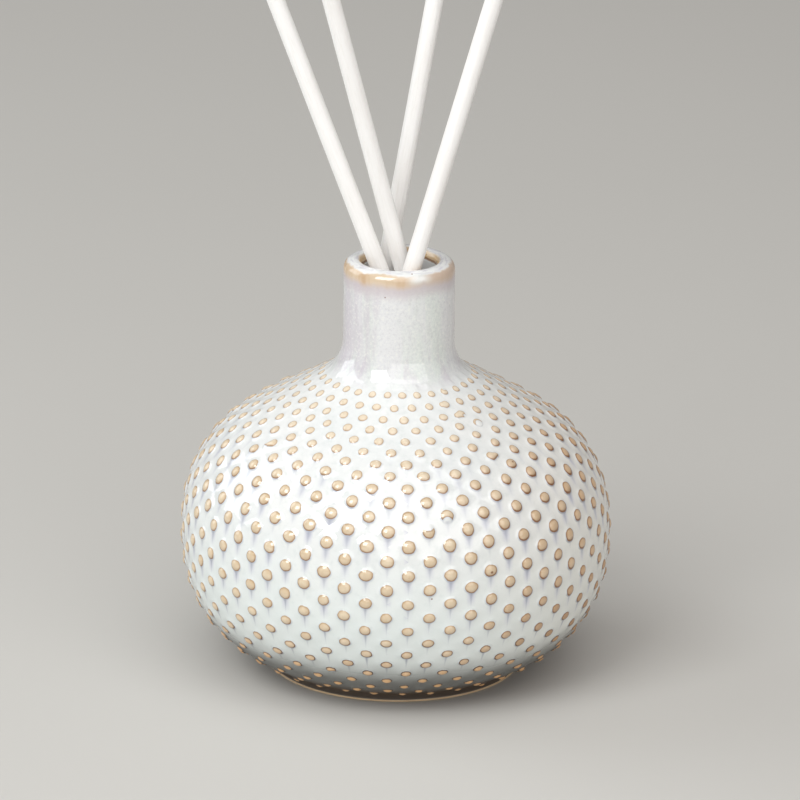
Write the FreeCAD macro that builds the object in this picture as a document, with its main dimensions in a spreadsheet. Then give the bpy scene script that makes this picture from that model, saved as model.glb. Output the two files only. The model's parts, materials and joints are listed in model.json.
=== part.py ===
"""Reed diffuser: a bottle-necked stoneware pot, the fragrance oil in it, and four reeds in its neck.

Frame: +Z up, origin on the table under the middle of the foot ring, -Y is the front. Millimetres.
Sub-parts: pot, fragrance_oil, reed_left, reed_centre, reed_back, reed_right.
"""
import FreeCAD, Part
import math
import os
import Sketcher

Vector = FreeCAD.Vector

# Driving dimensions, one sheet cell each. Lengths in mm, leans as run over rise.
DIMENSIONS = {
    # outline of the pot, from the foot up
    "foot_face_inner": 24.2,       # radius where the foot ring's flat face begins
    "foot_radius": 29.0,           # outer radius of the foot ring
    "recess_radius": 23.2,         # radius of the hollow under the base
    "recess_depth": 1.6,
    "wall": 4.15,
    "floor_height": 6.0,           # top of the chamber's floor
    "belly_radius": 50.0,          # over the relief's crests, like the whole outline of the belly
    "belly_height": 32.4,
    "waist_arc": 52.9,             # flattest arc, round the widest part
    "waist_band": 12.2,            # height of that arc
    "hip_arc": 29.2,               # arcs above and below the waist
    "base_arc": 34.6,              # arc that runs in to the foot
    "base_arc_top": 7.5,           # height where the lower hip arc meets it
    "shoulder_height": 59.6,       # height where the upper hip arc meets the shoulder
    "shoulder_arc": 300.0,         # slight crown of the shoulder
    "neck_fillet": 7.5,
    "neck_radius": 12.8,
    "lip_height": 97.5,
    "lip_outer_round": 2.3,
    "lip_inner_round": 1.5,
    # the contents
    "oil_level": 25.0,
    "oil_clearance": 0.2,          # between the oil and each reed
    # the reeds
    "reed_diameter": 4.0,
    "reed_length": 200.0,
    "reed_edge": 0.15,             # worn edge of a cut end
    # each reed's axis: where it crosses the lip's plane, its lean, and the height of its lower end
    "left_lip_x": -5.44, "left_lip_y": -0.67, "left_lean_x": -0.3856, "left_lean_y": 0.0203, "left_end": 7.0,
    "centre_lip_x": 0.14, "centre_lip_y": -0.10, "centre_lean_x": -0.2599, "centre_lean_y": -0.1141,
    "centre_end": 6.85,
    "back_lip_x": -2.58, "back_lip_y": 4.26, "back_lean_x": 0.1669, "back_lean_y": 0.1108, "back_end": 6.7,
    "right_lip_x": 3.12, "right_lip_y": -4.82, "right_lean_x": 0.2802, "right_lean_y": 0.0404,
    "right_end": 6.85,
}

REEDS = ("left", "centre", "back", "right")
CHANNEL_OVERRUN = 10.0             # how far a reed's channel runs on past its lower end


def make_sheet(doc, values):
    """One labelled row per driving dimension."""
    sheet = doc.addObject("Spreadsheet::Sheet", "Dimensions")
    for row, (word, value) in enumerate(values.items(), start=1):
        sheet.set(f"A{row}", word)
        sheet.set(f"B{row}", str(value))
        sheet.setAlias(f"B{row}", word)
    doc.recompute()
    return sheet


def cell(word):
    return f"Dimensions.{word}"


def origin_plane(body, role):
    return next(item for item in body.Origin.OriginFeatures if item.Role == role)


def new_body(doc, name):
    body = doc.addObject("PartDesign::Body", name)
    body.Label = name
    return body


def new_sketch(body, name, role):
    sketch = body.newObject("Sketcher::SketchObject", name)
    sketch.AttachmentSupport = [(origin_plane(body, role), "")]
    sketch.MapMode = "FlatFace"
    return sketch


def polar(centre, radius, angle):
    return centre + Vector(radius * math.cos(angle), radius * math.sin(angle), 0)


class Outline:
    """The arcs and tangent points of the pot's wall in the X-Z half plane, as sketch points (x, z, 0)."""

    def __init__(self, size):
        self.waist = Vector(size["belly_radius"] - size["waist_arc"], size["belly_height"], 0)
        self.waist_angle = math.asin(size["waist_band"] / 2 / size["waist_arc"])
        step = size["waist_arc"] - size["hip_arc"]
        self.hip_top = polar(self.waist, step, self.waist_angle)
        self.hip_low = polar(self.waist, step, -self.waist_angle)
        self.shoulder_angle = math.asin((size["shoulder_height"] - self.hip_top.y) / size["hip_arc"])
        self.base_angle = math.asin((self.hip_low.y - size["base_arc_top"]) / size["hip_arc"])
        self.base = polar(self.hip_low, size["hip_arc"] - size["base_arc"], -self.base_angle)
        self.shoulder = polar(self.hip_top, size["hip_arc"] - size["shoulder_arc"], self.shoulder_angle)
        across = size["neck_radius"] + size["neck_fillet"]
        reach = size["shoulder_arc"] + size["neck_fillet"]
        self.neck_angle = math.acos((across - self.shoulder.x) / reach)
        self.fillet = polar(self.shoulder, reach, self.neck_angle)
        self.size = size

    def base_angle_at_height(self, height, inset):
        return math.asin((self.base.y - height) / (self.size["base_arc"] - inset))

    def base_angle_at_radius(self, radius):
        return math.acos((radius - self.base.x) / self.size["base_arc"])


def arc(centre, radius, start, end):
    circle = Part.Circle(centre, Vector(0, 0, 1), radius)
    return Part.ArcOfCircle(circle, start, end)


def line(start, end):
    return Part.LineSegment(start, end)


def bind(sketch, name, constraint, word):
    index = sketch.addConstraint(constraint)
    sketch.renameConstraint(index, name)
    sketch.setExpression(f"Constraints.{name}", word)


def bind_radius(sketch, name, curve, word):
    radius = sketch.Geometry[curve].Radius
    bind(sketch, name, Sketcher.Constraint("Radius", curve, radius), word)


def bind_x(sketch, name, curve, end, word):
    """Distance of a point from the sketch's vertical axis."""
    value = sketch.getPoint(curve, end).x
    bind(sketch, name, Sketcher.Constraint("DistanceX", -1, 1, curve, end, value), word)


def bind_y(sketch, name, curve, end, word):
    """Height of a point above the sketch's horizontal axis."""
    value = sketch.getPoint(curve, end).y
    bind(sketch, name, Sketcher.Constraint("DistanceY", -1, 1, curve, end, value), word)


START, END, CENTRE = 1, 2, 3
HORIZONTAL_AXIS, VERTICAL_AXIS = -1, -2


def join(sketch, kind, pairs):
    """Join the named ends of pairs of curves, with kind Coincident or Tangent."""
    for first, first_end, second, second_end in pairs:
        sketch.addConstraint(Sketcher.Constraint(kind, first, first_end, second, second_end))


def revolve(body, sketch, name):
    turned = body.newObject("PartDesign::Revolution", name)
    turned.Profile = sketch
    turned.ReferenceAxis = (sketch, ["V_Axis"])
    turned.Angle = 360
    return turned


def make_pot(doc, size):
    """The pot's wall, revolved: foot ring, belly, shoulder, neck, rolled lip, bore and chamber."""
    body = new_body(doc, "pot")
    sketch = new_sketch(body, "pot_wall", "XZ_Plane")
    form = Outline(size)
    wall = size["wall"]
    right = math.pi
    quarter = math.pi / 2
    foot_radius, neck_radius, lip_height = size["foot_radius"], size["neck_radius"], size["lip_height"]
    foot_angle = -form.base_angle_at_radius(foot_radius)
    foot_top = polar(form.base, size["base_arc"], foot_angle)
    hip_out, hip_in = size["hip_arc"], size["hip_arc"] - wall
    fillet_out, fillet_in = size["neck_fillet"], size["neck_fillet"] + wall
    bore_radius = neck_radius - wall
    outer_round, inner_round = size["lip_outer_round"], size["lip_inner_round"]
    outer_lip = Vector(neck_radius - outer_round, lip_height - outer_round, 0)
    inner_lip = Vector(bore_radius + inner_round, lip_height - inner_round, 0)
    floor_angle = -form.base_angle_at_height(size["floor_height"], wall)
    floor_edge = polar(form.base, size["base_arc"] - wall, floor_angle)
    recess_edge = Vector(size["recess_radius"], size["recess_depth"], 0)
    face_edge = Vector(size["foot_face_inner"], 0, 0)
    waist, shoulder, neck, base = form.waist_angle, form.shoulder_angle, form.neck_angle, form.base_angle
    shoulder_out = size["shoulder_arc"]

    curves = {
        "underside": line(Vector(0, recess_edge.y, 0), recess_edge),
        "recess_side": line(recess_edge, face_edge),
        "foot_face": line(face_edge, Vector(foot_radius, 0, 0)),
        "foot_side": line(Vector(foot_radius, 0, 0), foot_top),
        "base_out": arc(form.base, size["base_arc"], foot_angle, -base),
        "low_hip_out": arc(form.hip_low, hip_out, -base, -waist),
        "waist_out": arc(form.waist, size["waist_arc"], -waist, waist),
        "top_hip_out": arc(form.hip_top, hip_out, waist, shoulder),
        "shoulder_out": arc(form.shoulder, shoulder_out, shoulder, neck),
        "fillet_out": arc(form.fillet, fillet_out, right, right + neck),
        "neck_out": line(form.fillet - Vector(fillet_out, 0, 0), outer_lip + Vector(outer_round, 0, 0)),
        "lip_out": arc(outer_lip, outer_round, 0, quarter),
        "lip_top": line(outer_lip + Vector(0, outer_round, 0), inner_lip + Vector(0, inner_round, 0)),
        "lip_in": arc(inner_lip, inner_round, quarter, right),
        "bore": line(inner_lip - Vector(inner_round, 0, 0), form.fillet - Vector(fillet_in, 0, 0)),
        "fillet_in": arc(form.fillet, fillet_in, right, right + neck),
        "shoulder_in": arc(form.shoulder, shoulder_out - wall, shoulder, neck),
        "top_hip_in": arc(form.hip_top, hip_in, waist, shoulder),
        "waist_in": arc(form.waist, size["waist_arc"] - wall, -waist, waist),
        "low_hip_in": arc(form.hip_low, hip_in, -base, -waist),
        "base_in": arc(form.base, size["base_arc"] - wall, floor_angle, -base),
        "chamber_floor": line(floor_edge, Vector(0, floor_edge.y, 0)),
        "axis": line(Vector(0, floor_edge.y, 0), Vector(0, recess_edge.y, 0)),
    }
    index = {name: number for number, name in enumerate(curves)}
    sketch.addGeometry(list(curves.values()), False)

    def at(name, end):
        return index[name], end

    corners = [("underside", END, "recess_side", START), ("recess_side", END, "foot_face", START),
               ("foot_face", END, "foot_side", START), ("foot_side", END, "base_out", START),
               ("base_in", START, "chamber_floor", START), ("chamber_floor", END, "axis", START),
               ("axis", END, "underside", START)]
    smooth = [("base_out", END, "low_hip_out", START), ("low_hip_out", END, "waist_out", START),
              ("waist_out", END, "top_hip_out", START), ("top_hip_out", END, "shoulder_out", START),
              ("shoulder_out", END, "fillet_out", END), ("fillet_out", START, "neck_out", START),
              ("neck_out", END, "lip_out", START), ("lip_out", END, "lip_top", START),
              ("lip_top", END, "lip_in", START), ("lip_in", END, "bore", START),
              ("bore", END, "fillet_in", START), ("fillet_in", END, "shoulder_in", END),
              ("shoulder_in", START, "top_hip_in", END), ("top_hip_in", START, "waist_in", END),
              ("waist_in", START, "low_hip_in", END), ("low_hip_in", START, "base_in", END)]
    concentric = [("fillet_in", CENTRE, "fillet_out", CENTRE), ("top_hip_in", CENTRE, "top_hip_out", CENTRE),
                  ("waist_in", CENTRE, "waist_out", CENTRE), ("low_hip_in", CENTRE, "low_hip_out", CENTRE),
                  ("base_in", CENTRE, "base_out", CENTRE)]
    join(sketch, "Coincident", [at(a, b) + at(c, d) for a, b, c, d in corners + concentric])
    join(sketch, "Tangent", [at(a, b) + at(c, d) for a, b, c, d in smooth])
    for name in ("underside", "foot_face", "lip_top", "chamber_floor"):
        sketch.addConstraint(Sketcher.Constraint("Horizontal", index[name]))
    for name in ("foot_side", "neck_out", "bore", "axis"):
        sketch.addConstraint(Sketcher.Constraint("Vertical", index[name]))
    sketch.addConstraint(Sketcher.Constraint("PointOnObject", *at("axis", START), VERTICAL_AXIS))
    sketch.addConstraint(Sketcher.Constraint("PointOnObject", *at("foot_face", START), HORIZONTAL_AXIS))

    bind_radius(sketch, "base_arc", index["base_out"], cell("base_arc"))
    bind_radius(sketch, "low_hip_arc", index["low_hip_out"], cell("hip_arc"))
    bind_radius(sketch, "waist_arc", index["waist_out"], cell("waist_arc"))
    bind_radius(sketch, "top_hip_arc", index["top_hip_out"], cell("hip_arc"))
    bind_radius(sketch, "shoulder_arc", index["shoulder_out"], cell("shoulder_arc"))
    bind_radius(sketch, "throat_shoulder", index["shoulder_in"], f"{cell('shoulder_arc')} - {cell('wall')}")
    bind_radius(sketch, "neck_fillet", index["fillet_out"], cell("neck_fillet"))
    bind_radius(sketch, "lip_outer_round", index["lip_out"], cell("lip_outer_round"))
    bind_radius(sketch, "lip_inner_round", index["lip_in"], cell("lip_inner_round"))
    bind_radius(sketch, "chamber_waist", index["waist_in"], f"{cell('waist_arc')} - {cell('wall')}")
    bind_x(sketch, "waist_centre", *at("waist_out", CENTRE), f"{cell('belly_radius')} - {cell('waist_arc')}")
    bind_x(sketch, "recess_radius", *at("recess_side", START), cell("recess_radius"))
    bind_x(sketch, "foot_face_inner", *at("foot_face", START), cell("foot_face_inner"))
    bind_x(sketch, "foot_radius", *at("foot_face", END), cell("foot_radius"))
    bind_x(sketch, "neck_radius", *at("neck_out", START), cell("neck_radius"))
    bind_x(sketch, "bore_radius", *at("bore", START), f"{cell('neck_radius')} - {cell('wall')}")
    bind_y(sketch, "belly_height", *at("waist_out", CENTRE), cell("belly_height"))
    half_band = f"{cell('waist_band')} / 2"
    bind_y(sketch, "waist_top", *at("waist_out", END), f"{cell('belly_height')} + {half_band}")
    bind_y(sketch, "waist_bottom", *at("waist_out", START), f"{cell('belly_height')} - {half_band}")
    bind_y(sketch, "shoulder_height", *at("top_hip_out", END), cell("shoulder_height"))
    bind_y(sketch, "base_arc_top", *at("low_hip_out", START), cell("base_arc_top"))
    bind_y(sketch, "recess_depth", *at("underside", START), cell("recess_depth"))
    bind_y(sketch, "floor_height", *at("chamber_floor", START), cell("floor_height"))
    bind_y(sketch, "lip_height", *at("lip_top", START), cell("lip_height"))
    doc.recompute()
    revolve(body, sketch, "pot_revolved")
    return body


def reed_axis(size, name):
    """A point on the reed's axis and its unit direction, up and out of the pot."""
    lean = Vector(size[f"{name}_lean_x"], size[f"{name}_lean_y"], 1)
    lip_point = Vector(size[f"{name}_lip_x"], size[f"{name}_lip_y"], size["lip_height"])
    drop = size["lip_height"] - size[f"{name}_end"]
    lower_end = lip_point - lean * drop
    return lower_end, lean.normalize()


def make_reed(doc, size, name):
    """A straight fibre stick with square-cut ends, standing on the floor and leaning on the neck."""
    body = new_body(doc, f"reed_{name}")
    sketch = new_sketch(body, f"reed_{name}_section", "XY_Plane")
    circle = Part.Circle(Vector(0, 0, 0), Vector(0, 0, 1), size["reed_diameter"] / 2)
    section = sketch.addGeometry(circle, False)
    sketch.addConstraint(Sketcher.Constraint("Coincident", section, CENTRE, HORIZONTAL_AXIS, START))
    bind_radius(sketch, "radius", section, f"{cell('reed_diameter')} / 2")
    pad = body.newObject("PartDesign::Pad", f"reed_{name}_stick")
    pad.Profile = sketch
    pad.setExpression("Length", cell("reed_length"))
    doc.recompute()
    worn = body.newObject("PartDesign::Chamfer", f"reed_{name}_worn_ends")
    edges = enumerate(pad.Shape.Edges, start=1)
    rims = [f"Edge{number}" for number, edge in edges if isinstance(edge.Curve, Part.Circle)]
    worn.Base = (pad, rims)
    worn.setExpression("Size", cell("reed_edge"))
    lower_end, direction = reed_axis(size, name)
    body.Placement = FreeCAD.Placement(lower_end, FreeCAD.Rotation(Vector(0, 0, 1), direction))
    return body


def make_oil(doc, size, reeds):
    """The oil fills the chamber's bottom up to its level, with a channel round each reed."""
    pool = doc.addObject("PartDesign::Body", "oil_pool")
    sketch = new_sketch(pool, "oil_outline", "XZ_Plane")
    form = Outline(size)
    wall, floor, level = size["wall"], size["floor_height"], size["oil_level"]
    base_radius, hip_radius = size["base_arc"] - wall, size["hip_arc"] - wall
    floor_angle = -form.base_angle_at_height(floor, wall)
    level_angle = -math.asin((form.hip_low.y - level) / hip_radius)
    floor_edge = polar(form.base, base_radius, floor_angle)
    level_edge = polar(form.hip_low, hip_radius, level_angle)
    outline = [
        line(Vector(0, floor, 0), floor_edge),
        arc(form.base, base_radius, floor_angle, -form.base_angle),
        arc(form.hip_low, hip_radius, -form.base_angle, level_angle),
        line(level_edge, Vector(0, level, 0)),
        line(Vector(0, level, 0), Vector(0, floor, 0)),
    ]
    bottom, base, hip, surface, axis = range(5)
    sketch.addGeometry(outline, False)
    join(sketch, "Coincident", [(bottom, END, base, START), (hip, END, surface, START),
                                (surface, END, axis, START), (axis, END, bottom, START)])
    join(sketch, "Tangent", [(base, END, hip, START)])
    for flat in (bottom, surface):
        sketch.addConstraint(Sketcher.Constraint("Horizontal", flat))
    sketch.addConstraint(Sketcher.Constraint("Vertical", axis))
    sketch.addConstraint(Sketcher.Constraint("PointOnObject", axis, START, VERTICAL_AXIS))

    step = f"({cell('waist_arc')} - {cell('hip_arc')})"
    sine = f"({cell('waist_band')} / 2 / {cell('waist_arc')})"
    hip_height = f"({cell('belly_height')} - {step} * {sine})"
    hip_across = f"{cell('belly_radius')} - {cell('waist_arc')} + {step} * sqrt(1 - {sine} ^ 2)"
    base_sine = f"({hip_height} - {cell('base_arc_top')}) / {cell('hip_arc')}"
    bind_radius(sketch, "base_arc", base, f"{cell('base_arc')} - {cell('wall')}")
    bind_radius(sketch, "hip_arc", hip, f"{cell('hip_arc')} - {cell('wall')}")
    bind_x(sketch, "hip_across", hip, CENTRE, hip_across)
    bind_y(sketch, "hip_height", hip, CENTRE, hip_height)
    hip_reach = f"({cell('hip_arc')} - {cell('wall')}) * {base_sine}"
    bind_y(sketch, "hip_start", hip, START, f"{hip_height} - {hip_reach}")
    bind_y(sketch, "floor", bottom, START, cell("floor_height"))
    bind_y(sketch, "level", surface, START, cell("oil_level"))
    doc.recompute()
    revolve(pool, sketch, "oil_revolved")

    channels = doc.addObject("Part::MultiFuse", "reed_channels")
    channels.Shapes = [make_channel(doc, reed) for reed in reeds]
    oil = doc.addObject("Part::Cut", "fragrance_oil")
    oil.Label = "fragrance_oil"
    oil.Base = pool
    oil.Tool = channels
    return oil


def make_channel(doc, reed):
    """A round channel along a reed, which runs out through the oil's surface and below its floor."""
    channel = doc.addObject("Part::Cylinder", f"{reed.Label}_channel")
    channel.setExpression("Radius", f"{cell('reed_diameter')} / 2 + {cell('oil_clearance')}")
    channel.setExpression("Height", f"{cell('oil_level')} * 2")
    rotation = reed.Placement.Rotation
    along = rotation.multVec(Vector(0, 0, 1))
    channel.Placement = FreeCAD.Placement(reed.Placement.Base - along * CHANNEL_OVERRUN, rotation)
    return channel


def check(doc, parts):
    """Stop on a failed object, an invalid shape, or a sub-part that isn't one solid."""
    for item in doc.Objects:
        if "Invalid" in item.State or "Error" in item.State:
            raise RuntimeError(f"{item.Name} failed: {item.State}")
    for part in parts:
        shape = part.Shape
        if shape.isNull() or not shape.isValid() or len(shape.Solids) != 1:
            raise RuntimeError(f"{part.Label} isn't one valid solid")


def main():
    doc = FreeCAD.newDocument("ReedDiffuser")
    size = DIMENSIONS
    make_sheet(doc, size)
    pot = make_pot(doc, size)
    reeds = [make_reed(doc, size, name) for name in REEDS]
    oil = make_oil(doc, size, reeds)
    doc.recompute()
    parts = [pot, oil] + reeds
    check(doc, parts)
    os.makedirs("parts", exist_ok=True)
    for part in parts:
        part.Shape.exportStep(f"parts/{part.Label}.step")
        box = part.Shape.BoundBox
        print(f"{part.Label}: {part.Shape.Volume / 1000:.1f} cm3, "
              f"x {box.XMin:.2f} {box.XMax:.2f}, y {box.YMin:.2f} {box.YMax:.2f}, "
              f"z {box.ZMin:.2f} {box.ZMax:.2f}")


main()
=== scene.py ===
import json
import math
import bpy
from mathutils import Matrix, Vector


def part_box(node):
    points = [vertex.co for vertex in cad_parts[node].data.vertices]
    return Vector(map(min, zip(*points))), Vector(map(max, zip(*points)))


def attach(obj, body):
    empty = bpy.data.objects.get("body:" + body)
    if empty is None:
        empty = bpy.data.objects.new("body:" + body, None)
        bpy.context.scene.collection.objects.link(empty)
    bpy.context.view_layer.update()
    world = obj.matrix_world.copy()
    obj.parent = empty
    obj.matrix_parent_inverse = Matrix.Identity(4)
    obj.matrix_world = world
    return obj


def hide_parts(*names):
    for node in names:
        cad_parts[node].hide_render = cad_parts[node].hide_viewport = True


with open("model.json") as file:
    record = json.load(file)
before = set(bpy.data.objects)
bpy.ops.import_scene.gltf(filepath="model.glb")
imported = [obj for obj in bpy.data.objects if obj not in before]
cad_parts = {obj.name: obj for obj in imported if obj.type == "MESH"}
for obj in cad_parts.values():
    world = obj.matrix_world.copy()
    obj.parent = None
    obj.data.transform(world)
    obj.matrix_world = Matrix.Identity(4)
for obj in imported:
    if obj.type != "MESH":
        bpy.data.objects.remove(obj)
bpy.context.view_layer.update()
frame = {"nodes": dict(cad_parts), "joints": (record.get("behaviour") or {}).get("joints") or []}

# Reed diffuser: the looks of a glazed stoneware pot with a hobnail relief, the four fibre reeds in its neck
# and the oil inside. Metres, +Z up, -Y is the front, the origin under the middle of the foot.
from types import SimpleNamespace

import bpy
import numpy as np
from mathutils import Matrix, Quaternion, Vector

# ---------------- sizes

pot_low, pot_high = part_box("pot")
BELLY_RADIUS = (pot_high.x - pot_low.x) / 2      # over the relief's crests
LIP_HEIGHT = pot_high.z
FOOT_RADIUS = 0.0290
FOOT_FACE_INNER = 0.0242
RECESS_RADIUS = 0.0232
RECESS_DEPTH = 0.0016
WALL = 0.00415
FLOOR_HEIGHT = 0.0060
BELLY_HEIGHT = 0.0324
WAIST_ARC = 0.0529
WAIST_BAND = 0.0122
HIP_ARC = 0.0292
BASE_ARC = 0.0346
BASE_ARC_TOP = 0.0075
SHOULDER_HEIGHT = 0.0596
SHOULDER_ARC = 0.3000
NECK_FILLET = 0.0075
NECK_RADIUS = 0.0128
LIP_OUTER_ROUND = 0.0023
LIP_INNER_ROUND = 0.0015
BORE_RADIUS = NECK_RADIUS - WALL

RELIEF = 0.00066                   # height of a full hobnail
SHOULDER_RELIEF = 0.42             # share of it that the first rows have
SHOULDER_SINK = 0.0002             # how much further the wall lies under the crests there
ROWS = 27
COLUMNS = 32
ROW_PITCH = 0.003324               # along the wall
TOP_ROW = 0.05192                  # along the wall from the waist to the first row, but for the spread
TOP_SPREAD = 0.00085               # by which the first row lies higher than the pitch says
SPREAD_ROWS = 3.0
FIRST_COLUMN = 0.062               # angle of the first column from the front, in radians
HOBNAIL_RADIUS = 0.00155           # of the bare disc on a hobnail at the waist
DISC_WIDTH = ((0, 2, 4, 13, 15, 18), (1.16, 1.10, 1.03, 1.03, 0.96, 0.90))   # rows, and each one's factor
DISC_HEIGHT = ((0, 2, 4, 11, 15, 18), (1.24, 1.16, 1.02, 0.98, 0.90, 0.74))
DOME_EDGE = 0.92                   # where a hobnail is steepest, in disc radii
HOBNAIL_REACH = 1.65               # where its skirt ends

REED_RADIUS = 0.0020
REED_NAMES = ("left", "centre", "back", "right")

SEED = 20


def srgb(red, green, blue):
    """A colour given as 0 to 255 on screen, as the linear colour that a shader takes."""
    def linear(level):
        share = level / 255
        return share / 12.92 if share <= 0.04045 else ((share + 0.055) / 1.055) ** 2.4
    return (linear(red), linear(green), linear(blue), 1.0)


def add_object(name, data):
    made = bpy.data.objects.new(name, data)
    bpy.context.scene.collection.objects.link(made)
    return made


# ---------------- shader helpers

class Shader:
    """A material's node tree, with short calls for the nodes that the materials here share."""

    def __init__(self, name):
        self.material = bpy.data.materials.new(name)
        self.material.use_nodes = True
        self.tree = self.material.node_tree
        self.tree.nodes.clear()
        self.surface = self.add("ShaderNodeBsdfPrincipled")
        output = self.add("ShaderNodeOutputMaterial")
        self.tree.links.new(self.surface.outputs["BSDF"], output.inputs["Surface"])

    def add(self, kind, **settings):
        node = self.tree.nodes.new(kind)
        for key, value in settings.items():
            setattr(node, key, value)
        return node

    def feed(self, socket, value):
        if isinstance(value, bpy.types.NodeSocket):
            self.tree.links.new(value, socket)
        else:
            socket.default_value = value

    def set(self, name, value):
        self.feed(self.surface.inputs[name], value)

    def math(self, operation, *values, clamp=False):
        node = self.add("ShaderNodeMath", operation=operation, use_clamp=clamp)
        for socket, value in zip(node.inputs, values):
            self.feed(socket, value)
        return node.outputs[0]

    def times(self, value, *others):
        for other in others:
            value = self.math("MULTIPLY", value, other)
        return value

    def plus(self, value, *others):
        for other in others:
            value = self.math("ADD", value, other)
        return value

    def minus(self, value, other):
        return self.math("SUBTRACT", value, other)

    def smooth(self, value, low, high):
        """A smooth step from 0 at low to 1 at high; low may be the larger of the two."""
        node = self.add("ShaderNodeMapRange", interpolation_type="SMOOTHSTEP")
        start, end, first, last = (low, high, 0.0, 1.0) if low < high else (high, low, 1.0, 0.0)
        for name, item in (("Value", value), ("From Min", start), ("From Max", end), ("To Min", first),
                           ("To Max", last)):
            self.feed(node.inputs[name], item)
        return node.outputs["Result"]

    def window(self, value, start, full, fading, gone):
        """0 up to start, 1 from full to fading and 0 again from gone."""
        return self.times(self.smooth(value, start, full), self.smooth(value, gone, fading))

    def mix(self, share, first, second):
        node = self.add("ShaderNodeMix", data_type="RGBA")
        self.feed(node.inputs[0], share)
        self.feed(node.inputs[6], first)
        self.feed(node.inputs[7], second)
        return node.outputs[2]

    def tint(self, colour, other, share, most):
        """The colour, turned towards the other by a share of most."""
        return self.mix(self.times(share, most), colour, other)

    def vector(self, operation, first, second):
        node = self.add("ShaderNodeVectorMath", operation=operation)
        self.feed(node.inputs[0], first)
        self.feed(node.inputs[1], second)
        return node

    def stretch(self, vector, scale):
        return self.vector("MULTIPLY", vector, scale).outputs[0]

    def noise(self, vector, scale, detail=3.0, roughness=0.5, distortion=0.0):
        """Fractal noise, about 0.5 on average."""
        node = self.add("ShaderNodeTexNoise")
        self.feed(node.inputs["Vector"], vector)
        for name, value in (("Scale", scale), ("Detail", detail), ("Roughness", roughness),
                            ("Distortion", distortion)):
            node.inputs[name].default_value = value
        return node.outputs["Fac"]

    def split(self, vector):
        node = self.add("ShaderNodeSeparateXYZ")
        self.feed(node.inputs[0], vector)
        return node.outputs[0], node.outputs[1], node.outputs[2]

    def join(self, x, y, z):
        node = self.add("ShaderNodeCombineXYZ")
        for socket, value in zip(node.inputs, (x, y, z)):
            self.feed(socket, value)
        return node.outputs[0]

    def attribute(self, name):
        """The three parts of a corner attribute."""
        return self.split(self.add("ShaderNodeAttribute", attribute_name=name).outputs["Vector"])

    def place(self):
        return self.add("ShaderNodeTexCoord").outputs["Object"]

    def bump(self, height, distance, strength=1.0):
        node = self.add("ShaderNodeBump")
        self.feed(node.inputs["Height"], height)
        node.inputs["Distance"].default_value = distance
        node.inputs["Strength"].default_value = strength
        self.set("Normal", node.outputs["Normal"])


# ---------------- the pot's outline

def polar(centre, radius, angle):
    return np.array([centre[0] + radius * math.cos(angle), centre[1] + radius * math.sin(angle)])


class Outline:
    """The wall's arcs in the half plane (radius, height), from the foot up to the neck."""

    def __init__(self):
        waist = np.array([BELLY_RADIUS - WAIST_ARC, BELLY_HEIGHT])
        waist_angle = math.asin(WAIST_BAND / 2 / WAIST_ARC)
        hip_top = polar(waist, WAIST_ARC - HIP_ARC, waist_angle)
        hip_low = polar(waist, WAIST_ARC - HIP_ARC, -waist_angle)
        shoulder_angle = math.asin((SHOULDER_HEIGHT - hip_top[1]) / HIP_ARC)
        base_angle = math.asin((hip_low[1] - BASE_ARC_TOP) / HIP_ARC)
        base = polar(hip_low, HIP_ARC - BASE_ARC, -base_angle)
        shoulder = polar(hip_top, HIP_ARC - SHOULDER_ARC, shoulder_angle)
        reach = SHOULDER_ARC + NECK_FILLET
        self.neck_angle = math.acos((NECK_RADIUS + NECK_FILLET - shoulder[0]) / reach)
        self.fillet = polar(shoulder, reach, self.neck_angle)
        self.base = base
        self.foot_angle = math.acos((FOOT_RADIUS - base[0]) / BASE_ARC)
        # centre, radius, first angle, last angle
        self.arcs = [
            (base, BASE_ARC, -math.pi / 2, -base_angle),
            (hip_low, HIP_ARC, -base_angle, -waist_angle),
            (waist, WAIST_ARC, -waist_angle, waist_angle),
            (hip_top, HIP_ARC, waist_angle, shoulder_angle),
            (shoulder, SHOULDER_ARC, shoulder_angle, self.neck_angle),
        ]

    def lengths(self, inset):
        """Distance along the inset wall from the waist to each arc's two ends."""
        spans = [(radius - inset) * (last - first) for _, radius, first, last in self.arcs]
        start = -spans[0] - spans[1] - spans[2] / 2
        return start + np.concatenate([[0.0], np.cumsum(spans)])

    def wall(self, along, inset):
        """Radius, height and normal on the inset wall at distances along it from the waist."""
        ends = self.lengths(inset)
        place = np.zeros(along.shape + (2,))
        normal = np.zeros(along.shape + (2,))
        for number, (centre, radius, first, last) in enumerate(self.arcs):
            here = (along >= ends[number]) & (along <= ends[number + 1] + 1e-12)
            angle = first + (along - ends[number]) / (radius - inset)
            direction = np.stack([np.cos(angle), np.sin(angle)], axis=-1)
            place[here] = (centre + (radius - inset) * direction)[here]
            normal[here] = direction[here]
        beyond = along > ends[-1]
        bend = self.neck_angle - (along - ends[-1]) / (NECK_FILLET + inset)
        flat = np.maximum(bend, 0)
        direction = np.stack([np.cos(flat), np.sin(flat)], axis=-1)
        curve = self.fillet - (NECK_FILLET + inset) * direction
        curve[..., 1] += np.maximum(-bend, 0) * (NECK_FILLET + inset)
        place[beyond] = curve[beyond]
        normal[beyond] = direction[beyond]
        return place, normal


def smoothstep(value, low, high):
    """0 up to low and 1 from high on, with a smooth rise between."""
    share = np.clip((value - low) / (high - low), 0, 1)
    return share * share * (3 - 2 * share)


def relief_height(along):
    """Height of a hobnail at that distance from the waist: low on the shoulder, full from the hip down."""
    return RELIEF * (SHOULDER_RELIEF + (1 - SHOULDER_RELIEF) * smoothstep(TOP_ROW - along, 0.004, 0.022))


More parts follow.
